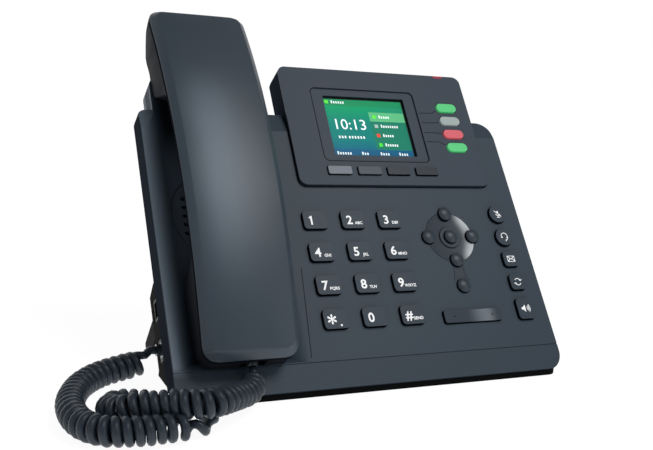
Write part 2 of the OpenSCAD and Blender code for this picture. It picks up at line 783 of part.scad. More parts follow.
function xyz(p) = [p[0], p[1], p[2]];
function unit(v) = v / norm(v);

module swept_tube(route, sides) {
  steps = 2;
  path = concat([for (i = [0:len(route) - 2], k = [0:steps - 1]) along(route, i, k / steps)],
                [route[len(route) - 1]]);
  last = len(path) - 1;
  loft([for (i = [0:last])
          let (t = unit(xyz(path[min(last, i + 1)]) - xyz(path[max(0, i - 1)])),
               side = unit(cross(t, [0, 0, 1])), up = cross(side, t))
          [for (k = [0:sides - 1])
             xyz(path[i]) + path[i][3] * (cos(360 * k / sides) * side + sin(360 * k / sides) * up)]]);
}

module handset_cord() {
  color([0.16, 0.18, 0.21]) world_section() swept_tube(cord_route, 10);
}

module base_plug() {
  color([0.2, 0.22, 0.25]) on_panel() {
    translate([side_wall_u + 0.2, handset_port_v - 3.7, port_w - 3.3]) cube([11, 7.4, 6.6]);
    translate([side_wall_u - 2.5, handset_port_v, port_w]) rotate([0, 90, 0]) cylinder(r = 2.8, h = 3);
  }
}

module handset_plug() {
  color([0.2, 0.22, 0.25]) on_panel() {
    translate([handset_u + jack_du - 3.7, handset_low + 1.8, jack_w - 3.1]) cube([7.4, 11, 6.2]);
    translate([handset_u + jack_du, handset_low - 1, jack_w]) rotate([-90, 0, 0]) cylinder(r = 2.6, h = 3);
  }
}

front_housing();
rear_housing();
display_housing();
display_lens();
lcd_panel();
message_lamp();
nav_ring();
main_board();
key_membrane();
loudspeaker();
stand();
rubber_feet();
housing_screws();
network_jacks();
power_jack();
audio_ports();
hook_switch();
handset_hook_tab();
for (i = [0:11]) dial_key(i);
for (i = [0:3]) soft_key(i);
for (i = [0:3]) line_key(i);
for (i = [0:3]) nav_key(i);
for (i = [0:4]) function_key(i);
ok_key();
cancel_key();
volume_rocker();
handset_outer_shell();
handset_inner_shell();
receiver_capsule();
microphone_capsule();
handset_ballast();
handset_jack();
base_plug();
handset_plug();
handset_cord();
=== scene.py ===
# Desk telephone: finishes, legends, screen, coiled cord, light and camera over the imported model.
import math

import bpy
from mathutils import Matrix, Vector


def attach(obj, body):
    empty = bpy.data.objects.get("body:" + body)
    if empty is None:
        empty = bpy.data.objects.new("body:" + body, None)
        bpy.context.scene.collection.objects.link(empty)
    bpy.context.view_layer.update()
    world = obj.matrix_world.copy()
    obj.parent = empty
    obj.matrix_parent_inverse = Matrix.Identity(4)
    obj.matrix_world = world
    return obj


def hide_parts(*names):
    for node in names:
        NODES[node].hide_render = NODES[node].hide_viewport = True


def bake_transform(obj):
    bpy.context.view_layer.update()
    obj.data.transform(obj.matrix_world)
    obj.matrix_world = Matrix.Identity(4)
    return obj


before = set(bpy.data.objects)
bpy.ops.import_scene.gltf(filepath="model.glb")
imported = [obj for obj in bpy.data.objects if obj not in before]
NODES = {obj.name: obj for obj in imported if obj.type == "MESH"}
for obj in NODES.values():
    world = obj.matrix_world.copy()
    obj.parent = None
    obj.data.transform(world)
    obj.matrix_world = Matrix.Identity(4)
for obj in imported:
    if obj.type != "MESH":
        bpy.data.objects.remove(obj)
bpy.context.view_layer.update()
scene = bpy.context.scene
MM = 0.001

# ---- The panel frame: u right from the left edge, v up the slope, w out of the panel, in mm ----

TILT = math.radians(53)
HALF_W = 104.5
PANEL_Y = -61.2
PANEL_X = Vector((1, 0, 0))
PANEL_V = Vector((0, math.cos(TILT), math.sin(TILT)))
PANEL_W = Vector((0, -math.sin(TILT), math.cos(TILT)))


def at(u, v, w):
    """A point of the panel frame in metres."""
    return ((u - HALF_W) * PANEL_X + v * PANEL_V + w * PANEL_W + Vector((0, PANEL_Y, 0))) * MM


def panel_matrix(u, v, w):
    """A frame at u, v, w whose z axis stands out of the panel."""
    m = Matrix((PANEL_X, PANEL_V, PANEL_W)).transposed().to_4x4()
    m.translation = at(u, v, w)
    return m


# ---- Camera ----

CAMERA_LENS = 50.86
CAMERA_PLACE = Vector((-209.57, -366.89 + PANEL_Y, 152.26))
CAMERA_RIGHT = Vector((0.91048, -0.40819, 0.06638)).normalized()
CAMERA_FORWARD = Vector((0.41342, 0.89428, -0.17133)).normalized()


def place_camera():
    """The camera stands in front of the phone and to its left, a little above it."""
    data = bpy.data.cameras.new("camera")
    data.lens = CAMERA_LENS
    data.sensor_width = 36
    camera = bpy.data.objects.new("camera", data)
    scene.collection.objects.link(camera)
    up = CAMERA_RIGHT.cross(CAMERA_FORWARD).normalized()
    pose = Matrix((CAMERA_RIGHT, up, -CAMERA_FORWARD)).transposed().to_4x4()
    pose.translation = CAMERA_PLACE * MM
    camera.matrix_world = pose
    scene.camera = camera
    scene.render.resolution_x = 653
    scene.render.resolution_y = 450


place_camera()


# ---- Materials ----

GRAIN_DETAIL, GRAIN_DEPTH = 3, 0.05


def linear(rgb):
    """sRGB 0-255 to linear 0-1."""
    out = []
    for c in rgb:
        c /= 255
        out.append(c / 12.92 if c <= 0.04045 else ((c + 0.055) / 1.055) ** 2.4)
    return (*out, 1)


def material(name, rgb, rough=0.5, metal=0.0, grain=0.0, grain_mm=0.35, glow=0.0, coat=0.0, spec=0.5):
    """One plain finish: grain is how strong its fine bumps are, and glow how much it lights itself."""
    m = bpy.data.materials.new(name)
    m.use_nodes = True
    tree = m.node_tree
    shader = tree.nodes["Principled BSDF"]
    shader.inputs["Base Color"].default_value = linear(rgb)
    shader.inputs["Roughness"].default_value = rough
    shader.inputs["Metallic"].default_value = metal
    shader.inputs["Coat Weight"].default_value = coat
    shader.inputs["Specular IOR Level"].default_value = spec
    if glow:
        shader.inputs["Emission Color"].default_value = linear(rgb)
        shader.inputs["Emission Strength"].default_value = glow
    if grain:
        place = tree.nodes.new("ShaderNodeTexCoord")
        noise = tree.nodes.new("ShaderNodeTexNoise")
        noise.inputs["Scale"].default_value = 1 / (grain_mm * MM)
        noise.inputs["Detail"].default_value = GRAIN_DETAIL
        bump = tree.nodes.new("ShaderNodeBump")
        bump.inputs["Strength"].default_value = grain
        bump.inputs["Distance"].default_value = GRAIN_DEPTH * MM
        tree.links.new(place.outputs["Object"], noise.inputs["Vector"])
        tree.links.new(noise.outputs["Fac"], bump.inputs["Height"])
        tree.links.new(bump.outputs["Normal"], shader.inputs["Normal"])
    return m


def panel_place(tree):
    """Outputs u, v and w in mm of the shaded point."""
    place = tree.nodes.new("ShaderNodeTexCoord")
    turn = tree.nodes.new("ShaderNodeMapping")
    turn.vector_type = "TEXTURE"
    turn.inputs["Location"].default_value = at(0, 0, 0)
    turn.inputs["Rotation"].default_value = (TILT, 0, 0)
    turn.inputs["Scale"].default_value = (MM, MM, MM)
    split = tree.nodes.new("ShaderNodeSeparateXYZ")
    tree.links.new(place.outputs["Object"], turn.inputs["Vector"])
    tree.links.new(turn.outputs["Vector"], split.inputs["Vector"])
    return split.outputs["X"], split.outputs["Y"], split.outputs["Z"]


def fade(tree, value, low, high):
    """0 below low and 1 above high, smooth between."""
    node = tree.nodes.new("ShaderNodeMapRange")
    node.interpolation_type = "SMOOTHSTEP"
    node.inputs["From Min"].default_value = min(low, high)
    node.inputs["From Max"].default_value = max(low, high)
    if low > high:
        node.inputs["To Min"].default_value = 1
        node.inputs["To Max"].default_value = 0
    tree.links.new(value, node.inputs["Value"])
    return node.outputs["Result"]


def math_node(tree, operation, a, b=0):
    """One sum on sockets or plain numbers."""
    node = tree.nodes.new("ShaderNodeMath")
    node.operation = operation
    for socket, value in zip(node.inputs, (a, b)):
        if isinstance(value, (int, float)):
            socket.default_value = value
        else:
            tree.links.new(value, socket)
    return node.outputs["Value"]


def product(tree, first, *others):
    """All of the masks multiplied together."""
    for other in others:
        first = math_node(tree, "MULTIPLY", first, other)
    return first


def blend_colour(m, mask, rgb):
    """Lays rgb over the material's colour where mask is 1."""
    tree = m.node_tree
    shader = tree.nodes["Principled BSDF"]
    mix = tree.nodes.new("ShaderNodeMix")
    mix.data_type = "RGBA"
    below, above = mix.inputs[6], mix.inputs[7]
    links = shader.inputs["Base Color"].links
    if links:
        tree.links.new(links[0].from_socket, below)
    else:
        below.default_value = shader.inputs["Base Color"].default_value
    above.default_value = linear(rgb)
    tree.links.new(mask, mix.inputs[0])
    tree.links.new(mix.outputs[2], shader.inputs["Base Color"])


def dull(m, mask):
    """Takes the mirror-like part of the shine away where mask is 1."""
    tree = m.node_tree
    shine = tree.nodes["Principled BSDF"].inputs["Specular IOR Level"]
    node = tree.nodes.new("ShaderNodeMapRange")
    node.inputs["To Min"].default_value = shine.default_value
    node.inputs["To Max"].default_value = 0.0
    tree.links.new(mask, node.inputs["Value"])
    tree.links.new(node.outputs["Result"], shine)


M = {
    "shell": material("shell", (57, 71, 84), 0.48, grain=0.25, spec=0.3),
    "display_shell": material("display_shell", (57, 70, 84), 0.48, grain=0.25, spec=0.3),
    "dark_shell": material("dark_shell", (11, 12, 14), 0.65, grain=0.5, grain_mm=0.5, spec=0.06),
    # Near-black plastic for the rear housing; its darkness also stands in for the shade under the front
    # edge, so part of it is painted shade.
    "under_shell_with_shade": material("under_shell_with_shade", (10, 11, 12), 0.7, grain=0.5, grain_mm=0.5, spec=0.03),
    "handset_face": material("handset_face", (56, 69, 81), 0.42, grain=0.2),
    # A darker copy of the handset's plastic: painted shade on the handset's inner shell.
    "handset_side": material("handset_side", (24, 27, 33), 0.6, grain=0.3, spec=0.05),
    "key": material("key", (54, 67, 80), 0.45, grain=0.15, spec=0.3),
    "dome": material("dome", (50, 61, 72), 0.4, grain=0.05),
    "rocker": material("rocker", (50, 61, 73), 0.42, grain=0.05, spec=0.3),
    "green_key": material("green_key", (76, 200, 118), 0.3, glow=0.3),
    "grey_key": material("grey_key", (168, 182, 180), 0.3, glow=0.12),
    "red_key": material("red_key", (212, 86, 98), 0.3, glow=0.3),
    "lamp": material("lamp", (164, 26, 58), 0.3, glow=0.2, coat=0.1),
    "board": material("board", (30, 90, 60), 0.5, grain=0.2),
    "membrane": material("membrane", (150, 150, 145), 0.7, grain=0.2),
    "speaker": material("speaker", (30, 30, 32), 0.5, grain=0.2),
    "rubber": material("rubber", (30, 30, 32), 0.8, grain=0.4),
    "steel": material("steel", (170, 172, 175), 0.35, metal=1.0, grain=0.1),
    "port": material("port", (24, 25, 28), 0.5, grain=0.2),
    "ballast": material("ballast", (110, 110, 112), 0.5, metal=1.0, grain=0.3),
    "plug": material("plug", (46, 52, 60), 0.25, coat=0.3, grain=0.05),
    "cord": material("cord", (43, 53, 64), 0.4, grain=0.1, spec=0.35),
    "ring": material("ring", (48, 60, 72), 0.4, grain=0.05, spec=0.3),
    # The print is white; its glow is painted light that keeps it bright.
    "ink": material("ink", (245, 247, 248), 0.5, glow=0.35),
    "groove": material("groove", (30, 35, 41), 0.7, spec=0.1),
}
# Four copies of one grey for the soft keys, lightest on the left: painted light and shade across keys that
# are alike.
SOFT_KEY_PAINTED_LIGHT = {"soft_1": 128, "soft_2": 76, "soft_3": 40, "soft_4": 33}
for name, shade in SOFT_KEY_PAINTED_LIGHT.items():
    M[name] = material(name, (shade, shade + 10, shade + 20), 0.4, grain=0.1, spec=0.3)


# Colours laid over the plain finishes, sRGB 0-255. Most are painted shade on walls and hollows or painted
# highlights on the handset, ring, rocker and cradle edge; the rib and the ring line are marks, and the
# screen colours are its picture.
TONE = {
    "key_side_shade": (9, 11, 14), "display_side_shade": (44, 52, 62), "trough": (22, 25, 31),
    "grille_surround_shade": (74, 84, 96), "wall": (40, 45, 53), "cradle_edge_highlight": (128, 143, 158),
    "rib": (28, 33, 39),
    "grip_highlight": (101, 116, 130), "grip_side_shade": (22, 25, 30), "ring_highlight": (206, 214, 217),
    "ring_line": (22, 26, 31), "rocker_highlight": (118, 127, 136), "screen_top": (8, 142, 92),
    "screen_bottom": (6, 88, 118), "screen_right": (34, 128, 100), "screen_back": (6, 6, 7)}

# Places that the shading follows, in the panel frame.
BODY_W = 209
KEY_TOP = 1.8
EDGE = 0.25
NAV_U, NAV_V = 160.8, 81.5
CHIN_TOP, RIB_PITCH = 17.4, 1.1
# Below this height, in mm above the table, the shell gets painted shade.
WALL_TOP = 3.9
HANDSET_PEAK_V, HANDSET_PEAK_W, HANDSET_ARC, HANDSET_CHAMFER = 112, 29.5, 325, 3.2
# Face heights of the soft keys, display, rocker and domes; painted shade goes on the walls below them.
SOFT_KEY_SIDE, DISPLAY_SIDE, ROCKER_SIDE, DOME_SIDE = 2.85, 1.5, 1.0, 0.8
SCREEN_GLOW = 0.7


def shade_side_walls(m, face_w, tone="key_side_shade"):
    """Paints shade below face_w, such as on the side walls of a key in its opening, and dulls the shine
    there.
    """
    _, _, w = panel_place(m.node_tree)
    mask = fade(m.node_tree, w, face_w, face_w - EDGE)
    blend_colour(m, mask, TONE[tone])
    dull(m, mask)


def shade_shell(m):
    """Painted shade darkens the trough, side walls and underside against the panel, a painted highlight lies
    on the cradle's left edge, and the front strip is ribbed.
    """
    tree = m.node_tree
    u, v, w = panel_place(tree)
    # Painted shade in the trough beside the handset.
    trough_shade = product(tree, fade(tree, u, 3, 9), fade(tree, u, 64, 60), fade(tree, w, -1.6, -5),
                     fade(tree, w, -13, -11))
    blend_colour(m, trough_shade, TONE["trough"])
    # The painted shade is a little lighter round the grille than in the rest of the trough.
    lighter_shade_round_grille = product(tree, trough_shade, fade(tree, v, 50, 80), fade(tree, v, 150, 120))
    blend_colour(m, lighter_shade_round_grille, TONE["grille_surround_shade"])
    # Painted shade on the shell's left and right side walls and on its lowest strip at the front.
    height = math_node(tree, "ADD", math_node(tree, "MULTIPLY", v, math.sin(TILT)),
                       math_node(tree, "MULTIPLY", w, math.cos(TILT)))
    sides = math_node(tree, "MAXIMUM", fade(tree, u, 0.3, 0.1), fade(tree, u, BODY_W - 0.3, BODY_W - 0.1))
    walls = math_node(tree, "MAXIMUM", sides, fade(tree, height, WALL_TOP, WALL_TOP - 0.4))
    blend_colour(m, walls, TONE["wall"])
    # Painted highlight: the rolled left edge of the cradle is lightened where it catches the light.
    edge = product(tree, fade(tree, u, 0.4, 0.8), fade(tree, u, 10.5, 2.5), fade(tree, v, 14, 22),
                   fade(tree, w, -12, -8))
    blend_colour(m, edge, TONE["cradle_edge_highlight"])
    # The painted shade on the walls and in the trough has its shine dulled too.
    dull(m, math_node(tree, "MAXIMUM", walls, trough_shade))
    wave = math_node(tree, "SINE", math_node(tree, "MULTIPLY", v, 2 * math.pi / RIB_PITCH))
    ribs = product(tree, fade(tree, wave, 0.2, 1), fade(tree, v, CHIN_TOP, CHIN_TOP - 0.2),
                   fade(tree, w, -0.5, -0.2), 0.3)
    blend_colour(m, ribs, TONE["rib"])


def shade_handset(m):
    """A soft painted highlight, brightest near the middle of the grip, and painted shade on the sides below
    the chamfer.
    """
    tree = m.node_tree
    u, v, w = panel_place(tree)
    # Painted highlight down the middle of the grip.
    grip_highlight_mask = product(tree, fade(tree, v, 36, 102), fade(tree, v, 172, 130), fade(tree, u, 9, 25),
                   fade(tree, u, 47, 27), 0.9)
    blend_colour(m, grip_highlight_mask, TONE["grip_highlight"])
    # Painted shade on the handset's sides below the chamfer, following the arc of its face, with the shine
    # dulled.
    from_peak = math_node(tree, "POWER", math_node(tree, "SUBTRACT", v, HANDSET_PEAK_V), 2)
    arch = math_node(tree, "MULTIPLY", from_peak, 1 / (2 * HANDSET_ARC))
    below_face = math_node(tree, "SUBTRACT", HANDSET_PEAK_W, math_node(tree, "ADD", arch, w))
    side = fade(tree, below_face, HANDSET_CHAMFER, HANDSET_CHAMFER + 0.5)
    blend_colour(m, side, TONE["grip_side_shade"])
    dull(m, side)


def shade_ring(m):
    """A painted highlight on the ring's right side, brightest at its rim, and a fine line round the OK key.
    """
    tree = m.node_tree
    u, v, _ = panel_place(tree)
    du = math_node(tree, "SUBTRACT", u, NAV_U)
    dv = math_node(tree, "SUBTRACT", v, NAV_V)
    squares = math_node(tree, "ADD", math_node(tree, "POWER", du, 2), math_node(tree, "POWER", dv, 2))
    reach = math_node(tree, "SQRT", squares)
    # Painted highlight on the ring's right side.
    ring_highlight_mask = product(tree, fade(tree, reach, 7, 14), fade(tree, du, 3.5, 10))
    blend_colour(m, ring_highlight_mask, TONE["ring_highlight"])
    line = product(tree, fade(tree, reach, 5.9, 6.3), fade(tree, reach, 6.9, 6.5))
    blend_colour(m, line, TONE["ring_line"])


def shade_rocker(m):
    """A painted highlight across the dished rocker, right of its middle."""
    tree = m.node_tree
    u, _, _ = panel_place(tree)
    # Painted highlight right of the rocker's middle.
    blend_colour(m, product(tree, fade(tree, u, 157, 169), fade(tree, u, 176, 170)), TONE["rocker_highlight"])


def screen_material():
    """The lit screen: green at the top to blue at the lower left, and black behind its face."""
    m = material("screen", (4, 116, 108), 0.5, spec=0.0)
    tree = m.node_tree
    shader = tree.nodes["Principled BSDF"]
    u, v, w = panel_place(tree)
    blend_colour(m, fade(tree, v, 148, 166), TONE["screen_top"])
    blend_colour(m, fade(tree, v, 146, 131), TONE["screen_bottom"])
    blend_colour(m, product(tree, fade(tree, u, 124, 150), 0.7), TONE["screen_right"])
    blend_colour(m, fade(tree, w, -0.8, -1), TONE["screen_back"])
    colour = shader.inputs["Base Color"].links[0].from_socket
    tree.links.new(colour, shader.inputs["Emission Color"])
    shader.inputs["Emission Strength"].default_value = SCREEN_GLOW
    return m


shade_shell(M["shell"])
shade_handset(M["handset_face"])
shade_ring(M["ring"])
# Painted shade on the side walls of the display, keys, soft keys, rocker and domes.
shade_side_walls(M["display_shell"], DISPLAY_SIDE, "display_side_shade")
shade_side_walls(M["key"], KEY_TOP - 0.35)
for name in SOFT_KEY_PAINTED_LIGHT:
    shade_side_walls(M[name], SOFT_KEY_SIDE)
shade_rocker(M["rocker"])
shade_side_walls(M["rocker"], ROCKER_SIDE)
shade_side_walls(M["dome"], DOME_SIDE)
M["screen"] = screen_material()


LENS_ROUGH, LENS_SHINE = 0.25, 0.004


def glass_material():
    """A thin clear window: nearly all see-through, with a faint reflection."""
    m = bpy.data.materials.new("lens")
    m.use_nodes = True
    tree = m.node_tree
    tree.nodes.remove(tree.nodes["Principled BSDF"])
    clear = tree.nodes.new("ShaderNodeBsdfTransparent")
    shine = tree.nodes.new("ShaderNodeBsdfGlossy")
    shine.inputs["Roughness"].default_value = LENS_ROUGH
    mix = tree.nodes.new("ShaderNodeMixShader")
    mix.inputs["Fac"].default_value = LENS_SHINE
    tree.links.new(clear.outputs["BSDF"], mix.inputs[1])
    tree.links.new(shine.outputs["BSDF"], mix.inputs[2])
    tree.links.new(mix.outputs["Shader"], tree.nodes["Material Output"].inputs["Surface"])
    return m


M["lens"] = glass_material()


def paint(obj, mat):
    """Gives obj one material and no other."""
    obj.data.materials.clear()
    obj.data.materials.append(mat)


def new_mesh(name, verts, faces, mat, smooth=False):
    """A mesh object from points in metres."""
    data = bpy.data.meshes.new(name)
    data.from_pydata([tuple(v) for v in verts], [], faces)
    data.update()
    obj = bpy.data.objects.new(name, data)
    scene.collection.objects.link(obj)
    data.materials.append(mat)
    if smooth:
        data.polygons.foreach_set("use_smooth", [True] * len(data.polygons))
    return obj


# ---- Coiled cord: the route of part.scad in mm, with the coil's outer radius at each point ----

WIRE_R = 1.95
COIL_R = 6.3
TIGHT_PITCH, LOOSENING = 4.1, 12
STEPS_PER_TURN, WIRE_STEP, TUBE_SIDES = 16, 1.75, 10
ROUTE = [
    (-69, 5.7, 15.87, 1.95), (-69.2, 3.4, 13, 1.95), (-70.4, 0, 10.8, 6), (-74.5, -6, 9.6, 6.3),
    (-81, -12, 10.6, 6.3), (-88.5, -19.5, 12.4, 6.3), (-97, -25.5, 13.6, 6.3), (-105, -25, 13.8, 6.3),
    (-113, -21, 13, 6.3), (-121, -18, 11.8, 6.3), (-127.5, -15.5, 10.8, 6.3), (-132.5, -11.5, 8.6, 6.3),
    (-134.5, -5, 6.8, 6.3), (-130.5, 1, 6.4, 6.3), (-123, 0, 6.4, 6.3), (-116, -4, 6.4, 6.3),
    (-109, -7.2, 6.4, 6.3), (-102.5, -9.5, 5.8, 5.6), (-97, -12, 4.6, 4.4), (-94.5, -16.5, 3.3, 3.1),
    (-96.5, -22, 3.2, 3), (-101.5, -27, 3.6, 3.4), (-107, -29, 4.8, 4.6), (-114, -29.5, 6.3, 6),
    (-124, -29.5, 6.4, 6.3), (-133, -28.5, 6.4, 6.3), (-141, -25.5, 6.4, 6.3), (-147, -18, 6.4, 6.3),
    (-149.5, -7, 6.4, 6.3), (-149, 5, 6.4, 6.3), (-146, 16, 6.6, 6.3), (-140.5, 26.5, 7, 6.3),
    (-132, 34.5, 7.8, 6.3), (-122, 38.5, 8.8, 6.3), (-114, 41, 9.6, 6.3), (-110.2, 42.2, 12.3, 3.6),
    (-107.4, 42.5, 14.9, 1.95), (-104.1, 42.5, 14.9, 1.95)]


def spline(points, steps):
    """Catmull-Rom through 4-vectors."""
    pts = [Vector(p) for p in points]
    pts = [2 * pts[0] - pts[1]] + pts + [2 * pts[-1] - pts[-2]]
    out = []
    for i in range(1, len(pts) - 2):
        a, b, c, d = pts[i - 1:i + 3]
        for k in range(steps):
            t = k / steps
            out.append((2 * b + (c - a) * t + (2 * a - 5 * b + 4 * c - d) * t * t
                        + (3 * b - a - 3 * c + d) * t ** 3) / 2)
    out.append(pts[-2])
    return out


def coil_wire(route):
    """The wire's own centreline: a helix about the route, wider where the coil is fat."""
    fine = spline(route, 40)
    centre = [Vector(p[:3]) + Vector((0, PANEL_Y, 0)) for p in fine]
    radius = [max(0.0, min(COIL_R, p[3]) - WIRE_R) for p in fine]
    tangent = (centre[1] - centre[0]).normalized()
    side = tangent.cross(Vector((0, 0, 1))).normalized()
    wire, phase = [], 0.0
    for i, p in enumerate(centre):
        ahead = (centre[min(i + 1, len(centre) - 1)] - centre[max(i - 1, 0)]).normalized()
        side = (side - ahead * side.dot(ahead)).normalized()
        over = ahead.cross(side)
        step = (centre[i] - centre[i - 1]).length if i else 0
        pitch = TIGHT_PITCH + LOOSENING * (1 - radius[i] / (COIL_R - WIRE_R))
        parts = max(1, math.ceil(step / pitch * STEPS_PER_TURN))
        for k in range(1, parts + 1):
            phase += step / pitch / parts * 2 * math.pi
            q = centre[i - 1].lerp(p, k / parts) if i else p
            r = radius[i - 1] + (radius[i] - radius[i - 1]) * k / parts if i else radius[0]
            wire.append(q + r * (math.cos(phase) * side + math.sin(phase) * over))
    # Evenly spaced copies keep the tube smooth.
    even, carry = [wire[0]], 0.0
    for a, b in zip(wire, wire[1:]):
        length = (b - a).length
        while carry + length >= WIRE_STEP:
            a = a.lerp(b, (WIRE_STEP - carry) / length)
            length = (b - a).length
            carry = 0.0
            even.append(a)
        carry += length
    even.append(wire[-1])
    return even


def tube(name, path, radius, sides, mat):
    """A round tube along path, in mm, with closed ends."""
    verts, faces = [], []
    ahead = (path[1] - path[0]).normalized()
    side = ahead.cross(Vector((0, 0, 1))).normalized()
    for i, p in enumerate(path):
        ahead = (path[min(i + 1, len(path) - 1)] - path[max(i - 1, 0)]).normalized()
        side = (side - ahead * side.dot(ahead)).normalized()
        over = ahead.cross(side)
        for k in range(sides):
            angle = 2 * math.pi * k / sides
            verts.append((p + radius * (math.cos(angle) * side + math.sin(angle) * over)) * MM)
    for i in range(len(path) - 1):
        for k in range(sides):
            a, b = i * sides + k, i * sides + (k + 1) % sides
            faces.append((a, b, b + sides, a + sides))
    faces.append(tuple(range(sides - 1, -1, -1)))
    faces.append(tuple(range(len(verts) - sides, len(verts))))
    return new_mesh(name, verts, faces, mat, smooth=True)


# The coiled tube stands in for the CAD cord, which is hidden.
wire = coil_wire(ROUTE)
cord = tube("curly_cord", wire, WIRE_R, TUBE_SIDES, M["cord"])
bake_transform(cord)
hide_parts("handset_cord")


# ---- Finishes of the CAD nodes, with small rounds on their edges ----

FINISH = {
    "front_housing": "shell", "rear_housing": "under_shell_with_shade", "display_housing": "display_shell",
    "display_lens": "lens", "lcd_panel": "screen", "message_lamp": "lamp", "nav_ring": "ring",
    "main_board": "board", "key_membrane": "membrane", "loudspeaker": "speaker",
    "stand": "dark_shell", "rubber_feet": "rubber",
    "housing_screws": "steel", "network_jacks": "port", "power_jack": "port", "audio_ports": "port",
    "hook_switch": "dark_shell", "handset_hook_tab": "dark_shell", "ok_key": "dome", "cancel_key": "dome",
    "volume_rocker": "rocker", "handset_outer_shell": "handset_face", "handset_inner_shell": "handset_side",
    "receiver_capsule": "membrane", "microphone_capsule": "steel",
    "handset_ballast": "ballast", "handset_jack": "port",
    "base_plug": "plug", "handset_plug": "plug",
    "line_key_1": "green_key", "line_key_2": "grey_key", "line_key_3": "red_key", "line_key_4": "green_key"}
DIAL = [f"key_{n}" for n in (1, 2, 3, 4, 5, 6, 7, 8, 9, "star", 0, "hash")]
FUNCTIONS = ["mute_key", "headset_key", "message_key", "redial_key", "speaker_key"]
FINISH.update({n: "key" for n in DIAL + FUNCTIONS})
FINISH.update({f"soft_key_{i}": f"soft_{i}" for i in (1, 2, 3, 4)})
FINISH.update({n: "dome" for n in ("nav_up", "nav_right", "nav_down", "nav_left")})

ROUND = {n: 0.45 for n in DIAL + FUNCTIONS}
ROUND.update({"front_housing": 0.35, "display_housing": 0.4, "rear_housing": 0.5, "stand": 0.8,
              "handset_outer_shell": 0.5, "handset_inner_shell": 0.6, "volume_rocker": 0.3,
              "message_lamp": 0.2, "base_plug": 0.3, "handset_plug": 0.3})
ROUND.update({f"soft_key_{i}": 0.3 for i in (1, 2, 3, 4)})
ROUND.update({f"line_key_{i}": 0.5 for i in (1, 2, 3, 4)})


WELD_GAP, FLAT_DEG, SHARP_DEG = 0.01, 0.8, 35


def soften(obj, width):
    """Welds the handset's triangles, or dissolves the flat ones elsewhere, then rounds the sharp edges."""
    if obj.name.startswith("handset_"):
        weld = obj.modifiers.new("weld", "WELD")
        weld.merge_threshold = WELD_GAP * MM
    else:
        flat = obj.modifiers.new("flat", "DECIMATE")
        flat.decimate_type = "DISSOLVE"
        flat.angle_limit = math.radians(FLAT_DEG)
    edge = obj.modifiers.new("round", "BEVEL")
    edge.width = width * MM
    edge.segments = 3
    edge.limit_method = "ANGLE"
    edge.angle_limit = math.radians(SHARP_DEG)
    edge.use_clamp_overlap = True
    edge.harden_normals = True
    obj.data.polygons.foreach_set("use_smooth", [True] * len(obj.data.polygons))


for name, mat in FINISH.items():
    paint(NODES[name], M[mat])
for name, width in ROUND.items():
    soften(NODES[name], width)


# ---- Legends and marks, each riding the body that it is printed on ----

def legend(name, body, text, u, v, w, size, bold=0.0, mat="ink"):
    """Centred lettering that lies on a face of height w."""
    data = bpy.data.curves.new(name, "FONT")
    data.body = text
    data.size = size * MM
    data.align_x, data.align_y = "CENTER", "CENTER"
    data.offset = bold * MM
    data.extrude = 0.02 * MM
    data.resolution_u = 3
    data.materials.append(M[mat])
    obj = bpy.data.objects.new(name, data)
    scene.collection.objects.link(obj)
    obj.matrix_world = panel_matrix(u, v, w)
    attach(obj, body)
    return obj


def strokes(name, body, u, v, w, lines, width, mat="ink"):
    """Thin round strokes through lists of (du, dv) points about u, v."""
    data = bpy.data.curves.new(name, "CURVE")
    data.dimensions = "3D"
    data.bevel_depth = width / 2 * MM
    data.bevel_resolution = 1
    for line in lines:
        path = data.splines.new("POLY")
        path.points.add(len(line) - 1)
        for point, (du, dv) in zip(path.points, line):
            point.co = (du * MM, dv * MM, 0, 1)
    data.materials.append(M[mat])
    obj = bpy.data.objects.new(name, data)
    scene.collection.objects.link(obj)
    obj.matrix_world = panel_matrix(u, v, w)
    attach(obj, body)
    return obj


def plate(name, body, outline, w, mat):
    """A flat face through (u, v) points at height w."""
    obj = new_mesh(name, [at(u, v, w) for u, v in outline], [tuple(range(len(outline)))], mat)
    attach(obj, body)
    return obj


def arc(radius, start, end, count=10, du=0.0, dv=0.0):
    """Points of an arc, in degrees."""
    angles = [math.radians(start + (end - start) * i / count) for i in range(count + 1)]
    return [(du + radius * math.cos(a), dv + radius * math.sin(a)) for a in angles]


DIAL_LEGENDS = [("1", ""), ("2", "ABC"), ("3", "DEF"), ("4", "GHI"), ("5", "JKL"), ("6", "MNO"),
                ("7", "PQRS"), ("8", "TUV"), ("9", "WXYZ"), ("*", "."), ("0", ""), ("#", "SEND")]
DIAL_U, DIAL_V, DIAL_PITCH_U, DIAL_PITCH_V = 83, 91.9, 21.3, 17.87
# Each is the size, then how far right and how far down of the key's middle.
DIGIT, STAR, LETTERS, DOT = (6.8, -2.2, 0.6), (11, -2.2, 2.4), (2.2, 2.8, 2.1), (8, 2.3, 1.4)
DIGIT_BOLD, LETTER_BOLD = 0.14, 0.06


def dial_legends():
    """The number and the letters of each dialling key."""
    for i, (key, (big, small)) in enumerate(zip(DIAL, DIAL_LEGENDS)):
        u, v = DIAL_U + i % 3 * DIAL_PITCH_U, DIAL_V - i // 3 * DIAL_PITCH_V
        size, right, down = STAR if big == "*" else DIGIT
        legend(f"digit_{key}", key, big, u + right, v - down, KEY_TOP, size, DIGIT_BOLD)
        if small:
            size, right, down = DOT if big == "*" else LETTERS
            legend(f"letters_{key}", key, small, u + right, v - down, KEY_TOP, size, LETTER_BOLD)


dial_legends()
# The built-in lettering's 1 has no flag.
FLAG = [(-1.3, 1.5), (-0.2, 2.1)]
FLAG_STROKE = 0.8
strokes("digit_1_flag", "key_1", DIAL_U + DIGIT[1], DIAL_V - DIGIT[2], KEY_TOP, [FLAG], FLAG_STROKE)

